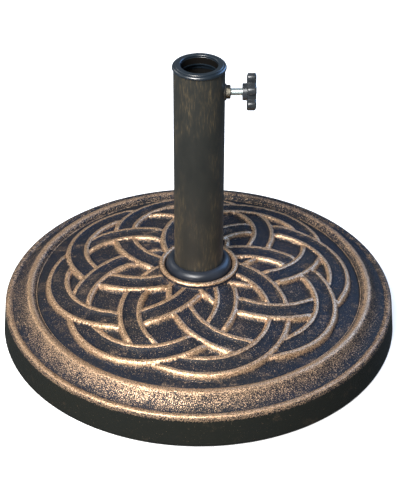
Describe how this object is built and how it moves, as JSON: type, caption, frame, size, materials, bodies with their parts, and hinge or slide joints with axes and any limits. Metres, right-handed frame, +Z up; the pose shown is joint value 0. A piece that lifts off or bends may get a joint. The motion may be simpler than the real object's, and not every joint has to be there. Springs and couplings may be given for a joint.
{
  "type": "parasol base",
  "caption": "Round weighted parasol base with an interlaced ring relief, an upright pole tube, a lift-out pole reducer, a sliding cover ring and a star-knob clamp screw.",
  "frame": {"origin": "on the ground, on the pole tube's axis", "axes": "+Z up along the pole tube, +X along the clamp screw towards its knob"},
  "size_m": [0.45, 0.45, 0.3334],
  "materials": {
    "bronzed_casting": "antiqued bronze paint over dark resin, rubbed on the ridges",
    "cement": "rough cement",
    "tube_paint": "satin dark brown with faint golden streaks",
    "plain_steel": "mill finish",
    "zinc_steel": "bright zinc plate",
    "nut_steel": "yellowish zinc plate with paint at its base",
    "weld_paint": "lumpy, painted over",
    "black_plastic": "glossy blue-black moulding",
    "tip_plastic": "matte moulding",
    "knob_plastic": "satin moulding",
    "foot_rubber": "matte rubber"
  },
  "bodies": {
    "base": {"cast_shell": "bronzed_casting", "ballast_core": "cement", "pole_tube": "tube_paint", "tube_foot_plate": "plain_steel", "tube_foot_weld": "plain_steel", "tube_bolt": "zinc_steel", "bolt_washer": "zinc_steel", "bolt_spring_washer": "zinc_steel", "tube_cap": "black_plastic", "weld_nut": "nut_steel", "nut_weld": "weld_paint", "foot_1": "foot_rubber", "foot_2": "foot_rubber", "foot_3": "foot_rubber", "foot_4": "foot_rubber", "foot_5": "foot_rubber", "foot_6": "foot_rubber"},
    "collar": {"tube_collar": "black_plastic"},
    "reducer": {"pole_reducer": "black_plastic"},
    "screw_tip": {"screw_tip_cap": "tip_plastic"},
    "clamp": {"clamp_screw": "zinc_steel", "clamp_knob": "knob_plastic"}
  },
  "joints": [
    {"name": "collar_slide", "type": "slide", "parent": "base", "child": "collar", "axis": [0, 0, 1], "range_m": [0, 0.2]},
    {"name": "reducer_lift", "type": "slide", "parent": "base", "child": "reducer", "axis": [0, 0, 1], "range_m": [0, 0.06]},
    {"name": "clamp_travel", "type": "slide", "parent": "base", "child": "screw_tip", "axis": [-1, 0, 0], "range_m": [-0.0057, 0.0113]},
    {"name": "clamp_turn", "type": "hinge", "parent": "screw_tip", "child": "clamp", "pos_m": [0.05, 0, 0.3006], "axis": [-1, 0, 0], "range_deg": [-1620, 3240]}
  ],
  "couplings": [
    {"joint": "clamp_travel", "follows": "clamp_turn", "m_per_rad": 0.00019894}
  ]
}
